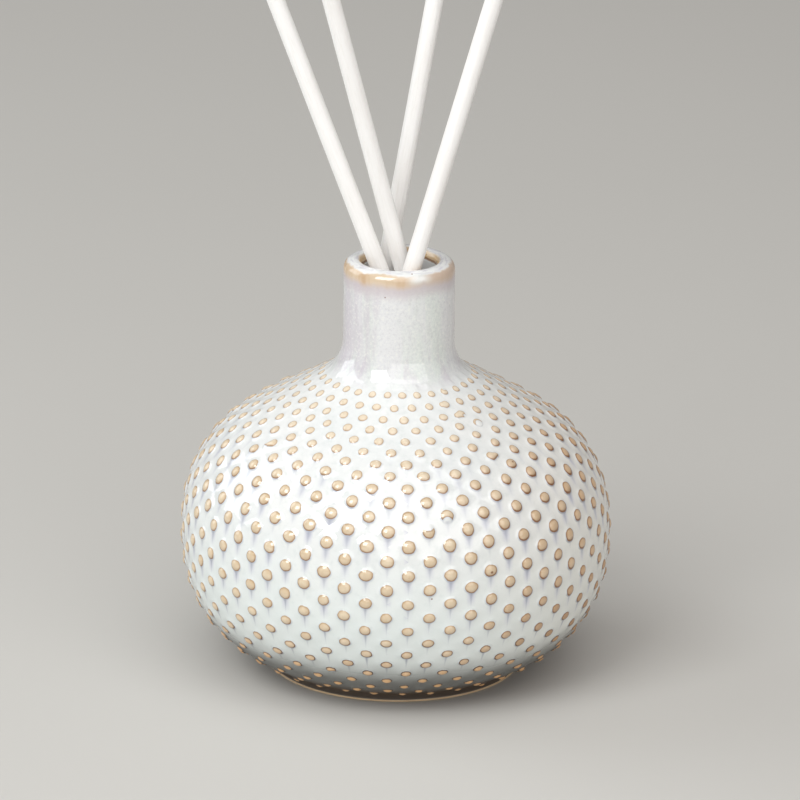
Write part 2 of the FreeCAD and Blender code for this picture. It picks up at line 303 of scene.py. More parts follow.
def wall_sink(along):
    """How far the glazed wall lies under the crests' outline."""
    crests = RELIEF + SHOULDER_SINK * smoothstep(along, 0.034, 0.048)
    return crests * (1 - smoothstep(along, TOP_ROW + 0.0005, TOP_ROW + 0.0085))


def disc_size(row, girth):
    """Half the width and the height of a bare disc: smaller with the girth, and flat under the waist."""
    radius = HOBNAIL_RADIUS * (girth / BELLY_RADIUS) ** 0.64
    return radius * np.interp(row, *DISC_WIDTH), radius * np.interp(row, *DISC_HEIGHT)


# ---------------- the pot's mesh

# Discs that came out of the glaze badly, by (row, column): a disc of glaze that covers part of one, or the
# far end of a bare patch that one runs out into, as (across, up, radius) in disc radii. A negative radius is
# a brown pit instead of a cover. Columns count from the front towards +X.
COVERED = {
    (0, 3): (0.50, 0.90, 0.62),
    (2, 3): (0.60, -0.70, 0.36),
    (3, 3): (0.05, -0.45, 0.85),
    (7, 3): (0.30, 0.10, -0.16),
    (8, 11): (-0.20, 1.00, 0.85),
    (9, 19): (0.90, 0.20, 0.60),
    (10, 1): (0.00, -1.05, 0.80),
    (11, 0): (0.00, 1.05, 0.95),
    (13, 14): (0.60, -0.90, 0.75),
    (14, 2): (0.05, -0.25, -0.20),
    (17, 22): (0.00, -1.00, 0.70),
    (22, 30): (0.25, -0.55, 0.55),
}
JOINED = {
    (1, 2): (-0.75, 0.10, 0.70),
    (2, 3): (-0.95, -0.15, 0.72),
    (5, 20): (-0.80, 0.60, 0.70),
    (6, 3): (0.95, 0.05, 0.50),
    (6, 27): (-1.35, -1.25, 0.10),
    (12, 12): (0.70, -0.80, 0.60),
}
FAR = (0.0, 99.0, 0.01)            # a cover that lies too far away to change anything
ALONE = (0.0, 0.0, 1.0)            # the patch's end for a disc without a patch
NO_DOT = (0.0, 9.0, 1.0, 1.0, 0.5, FAR, ALONE)     # for faces outside the cells: a disc far from them
SPOKES = 16
RINGS = (0.42, 0.72, 0.94)         # of vertices round the middle of a dot, in disc radii
LAST_RING = 1.60                   # the outermost of the two that follow, where the cell has room for it
RING_BETWEEN = 0.42                # how far the first of those two lies on the way to it
CELL_ROOM = 0.93                   # share of a cell's inner radius that the last ring may take up
# standard deviations of a hobnail's place across and up, width, height, tint and relief
STRAY = (0.00005, 0.00005, 0.035, 0.035, 0.2, 0.07)
MEAN = (0.0, 0.0, 1.0, 1.0, 0.5, 1.0)
MOST_STRAY = 2.2                   # standard deviations
UNEVENNESS = 0.00006               # scale of the waves in the hand-finished wall
NECK_STEPS = 24
SIDE_STEPS = SPOKES // 4           # segments along each side of a cell
COLUMN_STEPS = 2 * SIDE_STEPS      # lattice steps in one column's pitch
ROUND_COLUMNS = COLUMNS * SIDE_STEPS
COLUMN_ANGLE = 2 * math.pi / COLUMNS


def row_place(row):
    """Distance along the wall of a row, or of a fraction of one; the first rows lie further apart."""
    if row < 0:
        return TOP_ROW + TOP_SPREAD - row * ROW_PITCH
    return TOP_ROW - row * ROW_PITCH + TOP_SPREAD * max(0.0, 1 - row / SPREAD_ROWS) ** 2


def hobnail_profile(distance):
    """Share of a hobnail's height at a distance in disc radii: a dome, then a hollow skirt."""
    if distance < DOME_EDGE:
        return 1 - distance ** 2 / DOME_EDGE / HOBNAIL_REACH
    skirt = HOBNAIL_REACH - DOME_EDGE
    return max(HOBNAIL_REACH - distance, 0.0) ** 2 / skirt / HOBNAIL_REACH


class PotMesh:
    """Collects the pot's triangles. Along is a distance on the profile: 0 at the waist, growing upwards."""

    def __init__(self):
        self.vertices = []         # column, along, lift, radius and height; the last two may be nan
        self.lattice = {}          # vertices that cells share, by lattice place
        self.faces = []
        self.columns = []          # each corner's column, unbroken where the columns start again
        self.owners = []           # the dot each face belongs to
        self.dots = [NO_DOT]

    def vertex(self, column, along, lift=0.0, radius=math.nan, height=math.nan):
        self.vertices.append((column, along, lift, radius, height))
        return len(self.vertices) - 1

    def shared(self, column_steps, row_steps):
        """A vertex on the lattice between the cells."""
        key = (column_steps % (COLUMNS * COLUMN_STEPS), row_steps)
        if key not in self.lattice:
            along = row_place(row_steps / SIDE_STEPS)
            self.lattice[key] = self.vertex(column_steps / COLUMN_STEPS, along)
        return self.lattice[key]

    def face(self, corners, columns, owner=0):
        self.faces.append(corners)
        self.columns.append(columns)
        self.owners.append(owner)

    def cell(self, row, column, own):
        """One hobnail in its rhombic cell: rings round the dot, then the cell's own edge."""
        shift_x, shift_y, size_x, size_y, tint, rise = own
        middle = column + 0.5 * (row % 2)
        along = row_place(row)
        girth = float(OUTLINE.wall(np.array([along]), RELIEF)[0][0, 0])
        pitch = girth * COLUMN_ANGLE
        wide, tall = disc_size(row, girth)
        wide, tall = wide * size_x, tall * size_y
        centre, level = middle + shift_x / pitch, along + shift_y
        cover = COVERED.get((row, column), FAR)
        join = JOINED.get((row, column), ALONE)
        self.dots.append((centre, level, wide / COLUMN_ANGLE / girth, tall, tint, cover, join))
        owner = len(self.dots) - 1
        height = relief_height(along) * rise

        def raised(x, y):
            length = join[0] ** 2 + join[1] ** 2
            share = min(max((x * join[0] + y * join[1]) / length, 0.0), 1.0) if length else 0.0
            off_line = math.hypot(x - share * join[0], y - share * join[1])
            return height * hobnail_profile(off_line / (1 + share * (join[2] - 1)))

        inside = math.sin(math.atan2(ROW_PITCH, pitch / 2)) * pitch / 2
        last = min(LAST_RING, CELL_ROOM * inside / max(wide, tall))
        rings = []
        for distance in (*RINGS, RINGS[-1] + RING_BETWEEN * (last - RINGS[-1]), last):
            ring = []
            for spoke in range(SPOKES):
                x = distance * math.cos(2 * math.pi * spoke / SPOKES)
                y = distance * math.sin(2 * math.pi * spoke / SPOKES)
                place = centre + x * wide / pitch
                ring.append((self.vertex(place, level + y * tall, raised(x, y)), place))
            rings.append(ring)
        edge = []
        middle_steps, row_steps = round(middle * COLUMN_STEPS), row * SIDE_STEPS
        for spoke in range(SPOKES):
            side, step = divmod(spoke, SIDE_STEPS)
            rest = SIDE_STEPS - step
            over, up = ((rest, step), (-step, rest), (-rest, -step), (step, -rest))[side]
            steps = middle_steps + over
            edge.append((self.shared(steps, row_steps - up), steps / COLUMN_STEPS))
        rings.append(edge)
        top = (self.vertex(centre, level, raised(0.0, 0.0)), centre)
        for spoke in range(SPOKES):
            after = (spoke + 1) % SPOKES
            self.triangle(top, rings[0][spoke], rings[0][after], owner)
            for inner, outer in zip(rings, rings[1:]):
                self.triangle(inner[spoke], outer[spoke], outer[after], owner)
                self.triangle(inner[spoke], outer[after], inner[after], owner)

    def triangle(self, a, b, c, owner=0):
        self.face((a[0], b[0], c[0]), (a[1], b[1], c[1]), owner)

    def gusset(self, row, up):
        """Fills the notches between the end row's cells, up to a plain ring of vertices one row on."""
        half = 0.5 * (row % 2)
        for column in range(COLUMNS):
            start = round((column + half) * COLUMN_STEPS)
            line = []
            for step in range(SIDE_STEPS + 1):
                row_steps = row * SIDE_STEPS + (step - SIDE_STEPS) * up
                count = SIDE_STEPS + 1 - step
                steps = [start + step + 2 * n for n in range(count)]
                line.append([(self.shared(s, row_steps), s / COLUMN_STEPS) for s in steps])
            for outer, inner in zip(line, line[1:]):
                for n in range(len(inner)):
                    self.turned(up, outer[n], inner[n], outer[n + 1])
                    if n:
                        self.turned(up, inner[n - 1], inner[n], outer[n])

    def turned(self, up, a, b, c):
        """A triangle that faces the other way where up is negative."""
        if up < 0:
            b, c = c, b
        self.triangle(a, b, c)

    def lattice_ring(self, row):
        steps = [2 * n for n in range(ROUND_COLUMNS + 1)]
        return [(self.shared(s, row * SIDE_STEPS), s / COLUMN_STEPS) for s in steps]

    def ring(self, along, radius=math.nan, height=math.nan):
        columns = [n / SIDE_STEPS for n in range(ROUND_COLUMNS)]
        made = [(self.vertex(column, along, 0.0, radius, height), column) for column in columns]
        return made + [(made[0][0], float(COLUMNS))]

    def band(self, low, high):
        for n in range(ROUND_COLUMNS):
            self.triangle(low[n], low[n + 1], high[n + 1])
            self.triangle(low[n], high[n + 1], high[n])

    def cap(self, ring, height, along, up):
        """Closes a ring with a flat fan of triangles."""
        middle = self.vertex(0.0, along, 0.0, 0.0, height)
        for n in range(ROUND_COLUMNS):
            self.turned(up, ring[n], ring[n + 1], (middle, ring[n][1]))


def arc_places(centre, radius, first, last, steps, start):
    """Places along an arc after its first point, each with its distance along the profile."""
    places = []
    for step in range(1, steps + 1):
        angle = first + (last - first) * step / steps
        radial, height = polar(centre, radius, angle)
        places.append((start + abs(radius * (angle - first)), radial, height))
    return places


def line_places(start_place, end_place, steps, start):
    first, last = np.array(start_place), np.array(end_place)
    length = float(np.linalg.norm(last - first))
    return [(start + length * step / steps, *(first + (last - first) * step / steps))
            for step in range(1, steps + 1)]


def upper_profile():
    """The lip, the bore and the chamber down to its floor, as (along, radius, height)."""
    right = math.pi
    lip_out = (NECK_RADIUS - LIP_OUTER_ROUND, LIP_HEIGHT - LIP_OUTER_ROUND)
    lip_in = (BORE_RADIUS + LIP_INNER_ROUND, LIP_HEIGHT - LIP_INNER_ROUND)
    fillet = OUTLINE.fillet
    places = arc_places(lip_out, LIP_OUTER_ROUND, 0, right / 2, 8, LIP_START)
    places += line_places((lip_out[0], LIP_HEIGHT), (lip_in[0], LIP_HEIGHT), 1, places[-1][0])
    places += arc_places(lip_in, LIP_INNER_ROUND, right / 2, right, 6, places[-1][0])
    places += line_places((BORE_RADIUS, lip_in[1]), (BORE_RADIUS, fillet[1]), 9, places[-1][0])
    places += arc_places(fillet, NECK_FILLET + WALL, right, right + OUTLINE.neck_angle, 8, places[-1][0])
    for centre, radius, low, high in reversed(OUTLINE.arcs):
        if centre is OUTLINE.base:
            low = -math.asin((centre[1] - FLOOR_HEIGHT) / (radius - WALL))
        places += arc_places(centre, radius - WALL, high, low, 6, places[-1][0])
    along, radius, height = places[-1]
    places += line_places((radius, height), (radius / 8, height), 4, along)
    return places


def foot_profile():
    """The glaze's rolled edge, the bare foot ring and the recess under the base, going down and inwards."""
    glaze_edge = ((0.00054, 0.00195), (0.00012, 0.00140), (-0.00006, 0.00080), (-0.00012, 0.00036))
    bare_side = ((-0.00004, 0.00028), (0.00010, 0.00022), (0.00014, 0.00014), (0.00010, 0.00005),
                 (-0.00004, 0.0))
    points = [(FOOT_RADIUS + out, height) for out, height in glaze_edge + bare_side]
    points += [(FOOT_FACE_INNER, 0.0), (FOOT_FACE_INNER - 0.0002, 0.0001)]
    points += [(RECESS_RADIUS + 0.0001, RECESS_DEPTH - 0.0002), (RECESS_RADIUS - 0.0004, RECESS_DEPTH)]
    points += [(RECESS_RADIUS * share, RECESS_DEPTH) for share in (0.7, 0.4, 0.15)]
    places = []
    along, before = FOOT_START, points[0]
    for point in points:
        along -= math.dist(before, point)
        places.append((along, *point))
        before = point
    return places


def build_pot():
    """The whole pot as one closed mesh, with what its glaze needs to know stored on the corners."""
    random = np.random.default_rng(SEED)
    pot = PotMesh()
    for row in range(ROWS):
        for column in range(COLUMNS):
            draws = np.clip(random.normal(0, 1, len(STRAY)), -MOST_STRAY, MOST_STRAY)
            pot.cell(row, column, draws * STRAY + MEAN)
    pot.gusset(0, 1)
    pot.gusset(ROWS - 1, -1)

    ring = pot.lattice_ring(-1)
    start = row_place(-1)
    for step in range(1, NECK_STEPS + 1):
        higher = pot.ring(start + (LIP_START - start) * step / NECK_STEPS)
        pot.band(ring, higher)
        ring = higher
    for along, radius, height in upper_profile():
        further = pot.ring(along, radius, height)
        pot.band(ring, further)
        ring = further
    pot.cap(ring, FLOOR_HEIGHT, along + radius, 1)

    ring = pot.lattice_ring(ROWS)
    for along, radius, height in foot_profile():
        lower = pot.ring(along, radius, height)
        pot.band(lower, ring)
        ring = lower
    pot.cap(ring, RECESS_DEPTH, along - radius, -1)
    return pot


def unevenness(angle, along):
    """How far the hand-finished wall strays from its outline."""
    slow = np.sin(2 * angle + 0.7) * np.cos(along * 45 + 1.0) + 0.6 * np.sin(3 * angle + along * 60)
    quick = 0.35 * np.sin(7 * angle - along * 90 + 2.0) + 0.3 * np.cos(5 * angle + along * 160)
    return UNEVENNESS * (slow + quick)


def pot_positions(pot):
    data = np.array(pot.vertices)
    angle = FIRST_COLUMN + data[:, 0] * COLUMN_ANGLE
    along = data[:, 1]
    place, normal = OUTLINE.wall(along, RELIEF)
    lift = data[:, 2] + RELIEF - wall_sink(along)
    place = place + normal * lift[:, None]
    fixed = ~np.isnan(data[:, 3])
    place[fixed] = data[fixed, 3:5]
    stray = unevenness(angle, along) * smoothstep(along, FOOT_START, FOOT_START + 0.006)
    stray *= 1 - smoothstep(along, LIP_END, LIP_END + 0.002)
    radius = place[:, 0] + stray
    height = place[:, 1] + stray * smoothstep(along, LIP_START - 0.002, LIP_START + 0.002)
    return np.stack([radius * np.sin(angle), -radius * np.cos(angle), height], axis=1)


def corner_attribute(mesh, name, values):
    attribute = mesh.attributes.new(name, "FLOAT_VECTOR", "CORNER")
    attribute.data.foreach_set("vector", np.ascontiguousarray(values, dtype=np.float32).ravel())


def store_glaze_map(mesh, pot):
    """Corner attributes: the place on the dot, the place on the lattice, and the discs that change a dot."""
    columns = np.array(pot.columns).reshape(-1)
    alongs = np.array(pot.vertices)[np.array(pot.faces).reshape(-1), 1]
    owner = np.repeat(np.array(pot.owners), 3)
    centre, level, wide, tall, tint = (np.array([dot[n] for dot in pot.dots])[owner] for n in range(5))
    across = (columns - centre) / wide
    up = (alongs - level) / tall
    corner_attribute(mesh, "dot", np.stack([across, up, tint], axis=1))
    corner_attribute(mesh, "lattice", np.stack([columns, alongs, tint], axis=1))
    corner_attribute(mesh, "cover", np.array([dot[5] for dot in pot.dots])[owner])
    corner_attribute(mesh, "join", np.array([dot[6] for dot in pot.dots])[owner])


def make_pot():
    pot = build_pot()
    mesh = bpy.data.meshes.new("pot_body")
    mesh.from_pydata(pot_positions(pot).tolist(), [], pot.faces)
    mesh.shade_smooth()
    store_glaze_map(mesh, pot)
    mesh.materials.append(glaze())
    piece = add_object("pot_body", mesh)
    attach(piece, "pot")
    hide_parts("pot")


OUTLINE = Outline()
FOOT_START = -0.0378               # along the wall, where the foot's own profile begins
LIP_START = (float(OUTLINE.lengths(RELIEF)[-1]) + OUTLINE.neck_angle * (NECK_FILLET + RELIEF)
             + LIP_HEIGHT - LIP_OUTER_ROUND - float(OUTLINE.fillet[1]))
LIP_CREST = LIP_START + LIP_OUTER_ROUND * math.pi / 2
LIP_END = (LIP_CREST + LIP_INNER_ROUND * math.pi / 2
           + NECK_RADIUS - LIP_OUTER_ROUND - BORE_RADIUS - LIP_INNER_ROUND)


# ---------------- the pot's glaze

BARE_FOOT = FOOT_START - 0.00176   # along the profile, where the glaze ends
RUN_OVER_ANGLE = 0.38              # from the front, where the lip's white glaze runs over its tan edge
GLAZE_IOR = 1.95                   # high, for the glaze's hard shine
# angle from the front, distance from the axis, height and radius of each speck
SPECKS = (
    (0.170, BELLY_RADIUS - RELIEF, BELLY_HEIGHT, 0.00030),
    (-0.250, NECK_RADIUS, LIP_HEIGHT - 0.0056, 0.00023),
    (0.253, NECK_RADIUS - 0.0012, LIP_HEIGHT - 0.0002, 0.00030),
    (2.400, BELLY_RADIUS - 0.0062, BELLY_HEIGHT + 0.0180, 0.00030),
)


def span(shader, x, y):
    """Length of the vector (x, y)."""
    return shader.math("SQRT", shader.plus(shader.times(x, x), shader.times(y, y)))


def off_cover(shader, x, y):
    """Distance from the middle of the glaze that covers part of a disc, in disc radii, and its radius."""
    cover_x, cover_y, radius = shader.attribute("cover")
    return span(shader, shader.minus(x, cover_x), shader.minus(y, cover_y)), radius


def off_patch(shader, x, y):
    """Signed distance from the edge of a disc and of the patch that it runs out into, in disc radii."""
    end_x, end_y, radius = shader.attribute("join")
    along = shader.plus(shader.times(x, end_x), shader.times(y, end_y))
    length = shader.plus(shader.times(end_x, end_x), shader.times(end_y, end_y))
    share = shader.math("DIVIDE", along, shader.math("MAXIMUM", length, 0.001), clamp=True)
    across = shader.minus(x, shader.times(share, end_x))
    up = shader.minus(y, shader.times(share, end_y))
    taper = shader.plus(1.0, shader.times(share, shader.minus(radius, 1.0)))
    return shader.minus(span(shader, across, up), taper)


def bare_edge(shader, place, x, y):
    """Signed distance from a bare disc's edge, in disc radii, negative on the disc; and a pit's share."""
    waver = shader.times(shader.minus(shader.noise(place, 620.0, 2.0), 0.5), 0.34)
    from_cover, cover_radius = off_cover(shader, x, y)
    glazed = shader.minus(cover_radius, from_cover)
    pit = shader.smooth(shader.plus(from_cover, cover_radius), 0.07, -0.07)
    return shader.plus(shader.math("MAXIMUM", off_patch(shader, x, y), glazed), waver), pit


def streak(shader, place, column, along):
    """Shares of two lavender marks under each hobnail: a drip's thin line and a soft, broad patch."""
    radius = girth(shader, place)
    row = shader.math("DIVIDE", shader.minus(TOP_ROW, along), ROW_PITCH)
    half_column = shader.times(column, 2.0)
    nearest = shader.math("ROUND", half_column)
    off_line = shader.math("ABSOLUTE", shader.minus(half_column, nearest))
    across = shader.times(off_line, radius, COLUMN_ANGLE / 2)
    lower = shader.minus(row, nearest)
    below = shader.times(shader.math("FLOORED_MODULO", lower, 2.0), ROW_PITCH)
    dot_number = shader.math("FLOOR", shader.math("DIVIDE", lower, 2.0))
    drip = shader.add("ShaderNodeTexWhiteNoise", noise_dimensions="2D")
    shader.feed(drip.inputs["Vector"], shader.join(nearest, dot_number, 0.0))
    luck = drip.outputs["Value"]

    reach = shader.plus(0.0026, shader.times(luck, 0.0016))
    share = shader.math("DIVIDE", shader.minus(below, 0.0012), reach, clamp=True)
    left = shader.minus(1.0, share)
    width = shader.plus(0.00022, shader.times(shader.math("POWER", left, 3.0), 0.00056))
    width = shader.times(width, shader.minus(1.0, shader.times(shader.smooth(row, 13.0, 18.0), 0.5)))
    inside = shader.smooth(shader.math("DIVIDE", across, width), 2.0, -0.6)
    begun = shader.smooth(below, 0.0008, 0.0014)
    fading = shader.times(shader.smooth(share, 1.1, -0.2), shader.plus(0.5, luck))
    thin = shader.times(inside, fading, begun)

    spread = shader.smooth(across, 0.0014, 0.0003)
    patch = shader.times(spread, shader.smooth(below, 0.0052, 0.0022))
    patch = shader.times(patch, begun, shader.math("POWER", luck, 1.3))
    on_belly = shader.window(row, 5.0, 11.0, 15.0, 21.0)
    line_part = shader.times(thin, shader.smooth(row, 3.0, 15.0))
    within = shader.window(row, -0.4, 0.4, 26.5, 27.5)
    return shader.times(line_part, within), shader.times(patch, on_belly, within)


def girth(shader, place):
    """Distance from the pot's axis."""
    x, y, _ = shader.split(place)
    return span(shader, x, y)


def milky_glaze(shader, place):
    """The ground: bluish white with faint clouds, and a little grey where the glaze lies deeper."""
    clouds = shader.noise(place, 60.0, 4.0, 0.6)
    grain = shader.noise(place, 520.0, 4.0, 0.62)
    colour = shader.mix(shader.smooth(clouds, 0.35, 0.68), srgb(240, 243, 243), srgb(246, 247, 246))
    return shader.tint(colour, srgb(224, 230, 229), shader.smooth(grain, 0.48, 0.78), 0.6)


def neck_runs(shader, place, along, colour):
    """Soft upright runs of green-grey, lavender and white glaze on the neck."""
    runs = shader.noise(shader.stretch(place, (1.0, 1.0, 0.14)), 190.0, 4.0, 0.6)
    fine = shader.noise(shader.stretch(place, (1.0, 1.0, 0.3)), 700.0, 3.0, 0.6)
    lavender = shader.noise(shader.stretch(place, (1.0, 1.0, 0.2)), 150.0, 3.0, 0.55, 0.4)
    on_neck = shader.window(along, TOP_ROW + 0.0008, TOP_ROW + 0.0062, LIP_START - 0.001, LIP_START + 0.001)
    grey = shader.times(shader.smooth(runs, 0.40, 0.66), on_neck)
    colour = shader.tint(colour, srgb(221, 221, 226), on_neck, 0.55)
    colour = shader.tint(colour, srgb(222, 232, 224), grey, 0.60)
    violet = shader.times(shader.smooth(lavender, 0.48, 0.68), on_neck)
    colour = shader.tint(colour, srgb(206, 196, 208), violet, 0.65)
    thin = shader.times(shader.smooth(fine, 0.55, 0.72), on_neck)
    colour = shader.tint(colour, srgb(196, 196, 196), thin, 0.22)
    mottle = shader.noise(place, 1500.0, 3.0, 0.7)
    pale = shader.times(shader.smooth(mottle, 0.50, 0.68), on_neck)
    dull = shader.times(shader.smooth(mottle, 0.48, 0.34), on_neck)
    colour = shader.tint(colour, srgb(203, 201, 205), dull, 0.34)
    return shader.tint(colour, srgb(248, 248, 242), pale, 0.45)


def rim_colour(shader, place, along, colour):
    """Glaze breaks to tan round the lip's outer edge and at the bore, and is white on the crest between."""
    x, y, _ = shader.split(place)
    angle = shader.math("ARCTAN2", x, shader.times(y, -1.0))
    ragged = shader.noise(shader.stretch(place, (1.0, 1.0, 0.4)), 210.0, 3.0, 0.55)
    shift = shader.times(shader.minus(ragged, 0.5), 0.0030)
    front = shader.times(shader.math("COSINE", angle), 0.0004)
    wavy = shader.plus(along, shift, front)
    shade = shader.window(wavy, LIP_START - 0.0046, LIP_START - 0.0012, LIP_START - 0.0006,
                          LIP_START + 0.0006)
    colour = shader.tint(colour, srgb(204, 191, 196), shade, 0.75)
    band = shader.window(wavy, LIP_START - 0.0016, LIP_START + 0.0004, LIP_START + 0.0018,
                         LIP_START + 0.0026)
    off_run = shader.math("ABSOLUTE", shader.minus(angle, RUN_OVER_ANGLE))
    off_run = shader.plus(off_run, shader.times(shift, 60.0))
    over = shader.times(shader.smooth(off_run, 0.34, 0.0),
                        shader.smooth(wavy, LIP_START - 0.0018, LIP_START + 0.0012))
    band = shader.times(band, shader.minus(1.0, shader.times(over, 0.9)))
    tan = shader.mix(shader.smooth(ragged, 0.4, 0.65), srgb(222, 197, 165), srgb(206, 170, 130))
    pinkish = shader.window(angle, RUN_OVER_ANGLE - 0.1, RUN_OVER_ANGLE + 0.3, 1.4, 2.6)
    tan = shader.tint(tan, srgb(208, 184, 168), pinkish, 0.7)
    colour = shader.tint(colour, tan, band, 0.92)
    brushed = shader.noise(shader.join(angle, shader.times(along, 420.0), 0.0), 3.0, 3.0, 0.6, 0.3)
    crest = shader.window(wavy, LIP_CREST - 0.0016, LIP_CREST - 0.0006, LIP_END - 0.0014, LIP_END - 0.0006)
    shaded = shader.times(crest, shader.smooth(brushed, 0.42, 0.66))
    colour = shader.tint(colour, srgb(203, 198, 214), shaded, 0.6)
    edge = shader.plus(along, shader.times(shift, 0.35))
    inner = shader.window(edge, LIP_END - 0.0019, LIP_END - 0.0010, LIP_END + 0.0001, LIP_END + 0.0008)
    colour = shader.tint(colour, srgb(222, 188, 140), inner, 0.9)
    line = shader.window(edge, LIP_END - 0.0001, LIP_END + 0.0002, LIP_END + 0.0005, LIP_END + 0.0009)
    colour = shader.tint(colour, srgb(140, 92, 52), line, 0.8)
    inside = shader.smooth(edge, LIP_END + 0.0006, LIP_END + 0.0012)
    return shader.tint(colour, srgb(206, 204, 204), inside, 0.6)


def iron_specks(shader, place, colour):
    """Single brown specks that burnt through the glaze."""
    for angle, radius, height, size in SPECKS:
        speck = (radius * math.sin(angle), -radius * math.cos(angle), height)
        gap = shader.vector("DISTANCE", place, speck).outputs["Value"]
        inside = shader.smooth(gap, size, size * 0.4)
        colour = shader.tint(colour, srgb(124, 78, 46), inside, 0.80)
    return colour


def painted_foot_shade(shader, place, along, colour):
    """Painted shade under the belly: the glaze turns dark grey over a band towards the foot and dark brown
    at the foot, reaching higher at the back.
    """
    _, y, _ = shader.split(place)
    to_front = shader.math("DIVIDE", y, shader.math("MAXIMUM", girth(shader, place), 0.001))
    climb = shader.times(shader.plus(to_front, 1.0), 0.0035)
    uneven = shader.times(shader.minus(shader.noise(place, 110.0, 3.0), 0.5), 0.003)
    depth = shader.minus(shader.plus(along, uneven), climb)
    # painted shade: the glaze darkens to grey over a band towards the foot
    shaded_foot_band = shader.smooth(depth, FOOT_START + 0.0228, FOOT_START + 0.0100)
    colour = shader.tint(colour, srgb(78, 77, 72), shaded_foot_band, 0.90)
    # painted shade: dark brown at the foot itself
    brown = shader.smooth(depth, FOOT_START + 0.0085, FOOT_START + 0.0020)
    return shader.tint(colour, srgb(72, 52, 34), brown, 0.80), shaded_foot_band


def foot_colour(shader, place, along, colour):
    """The foot ring itself is bare buff clay, paler than its own tone: partly a painted highlight for the
    light its edge catches.
    """
    grit = shader.noise(place, 1500.0, 4.0, 0.7)
    # bare buff clay, lightened: partly painted highlight on the foot's edge
    clay = shader.mix(grit, srgb(240, 200, 150), srgb(254, 232, 194))
    bare = shader.smooth(along, BARE_FOOT + 0.0001, BARE_FOOT - 0.0001)
    return shader.mix(bare, colour, clay), bare


def find_spot(shader):
    """What the glaze's looks depend on: the place, the dot that owns it, and where it lies; the +X side away
    from the key light, the low rows and each disc's lower side get painted shade.
    """
    place = shader.place()
    column, along, _ = shader.attribute("lattice")
    x, y, tint = shader.attribute("dot")
    edge, pit = bare_edge(shader, place, x, y)
    # low rows: where painted shade darkens the discs and their outlines
    low_rows = shader.smooth(along, FOOT_START + 0.034, FOOT_START + 0.012)
    # the +X side, away from the key light: painted shade, with darker discs and warmer glaze
    shade_side = shader.smooth(shader.split(place)[0], 0.008, 0.052)
    shoulder = shader.smooth(along, TOP_ROW - 10 * ROW_PITCH, TOP_ROW - 2 * ROW_PITCH)
    # slant: towards each disc's lower side, turned to its lower right on the +X side, where painted shade
    # lies
    slant = shader.minus(y, shader.times(x, shade_side, 0.7))
    return SimpleNamespace(place=place, column=column, along=along, y=y, tint=tint, edge=edge, pit=pit,
                           low_rows=low_rows, shade_side=shade_side, shoulder=shoulder, slant=slant,
                           # the weight of painted shade from the low rows and the +X side
                           shade_weight=shader.math("MAXIMUM", low_rows, shade_side))


def ground_colour(shader, spot):
    """The glaze between the discs: cooler low down, with drips and a halo of deeper glaze round each
    hobnail; painted shade warms the +X side and greys the upper skirts of the low hobnails, and a painted
    shadow lies under each disc.
    """
    colour = milky_glaze(shader, spot.place)
    cool = shader.smooth(spot.along, 0.018, -0.012)
    colour = shader.tint(colour, srgb(231, 242, 241), cool, 0.60)
    # painted shade: warm bounce on the +X side, away from the key light
    colour = shader.tint(colour, srgb(238, 230, 216), spot.shade_side, 0.40)
    line, patch = streak(shader, spot.place, spot.column, spot.along)
    colour = shader.tint(colour, srgb(210, 211, 226), patch, 0.85)
    colour = shader.tint(colour, srgb(164, 170, 188), line, 0.90)
    halo = shader.times(shader.smooth(spot.edge, 0.34, 0.0), shader.smooth(spot.y, 1.3, -0.9))
    halo = shader.times(halo, shader.minus(0.6, shader.times(spot.shoulder, 0.35)))
    colour = shader.mix(halo, colour, srgb(190, 198, 215))
    # painted shade: greys the upper skirts of the low hobnails, toning down the lit crescents that the lamps
    # put there
    skirt = shader.times(shader.smooth(spot.edge, 0.60, 0.15), shader.smooth(spot.y, 0.1, 0.8))
    skirt = shader.times(skirt, shader.smooth(spot.along, 0.004, -0.020))
    colour = shader.tint(colour, srgb(196, 202, 202), skirt, 0.45)
    # painted shadow: a dark crescent in the glaze just under each disc, stronger low down and on the +X side
    under_shadow = shader.times(shader.smooth(spot.edge, 0.32, 0.02), shader.smooth(spot.y, -0.1, -0.9))
    under_shadow = shader.times(under_shadow, shader.plus(0.10, shader.times(spot.shade_weight, 0.50)))
    return shader.mix(under_shadow, colour, srgb(104, 94, 88))


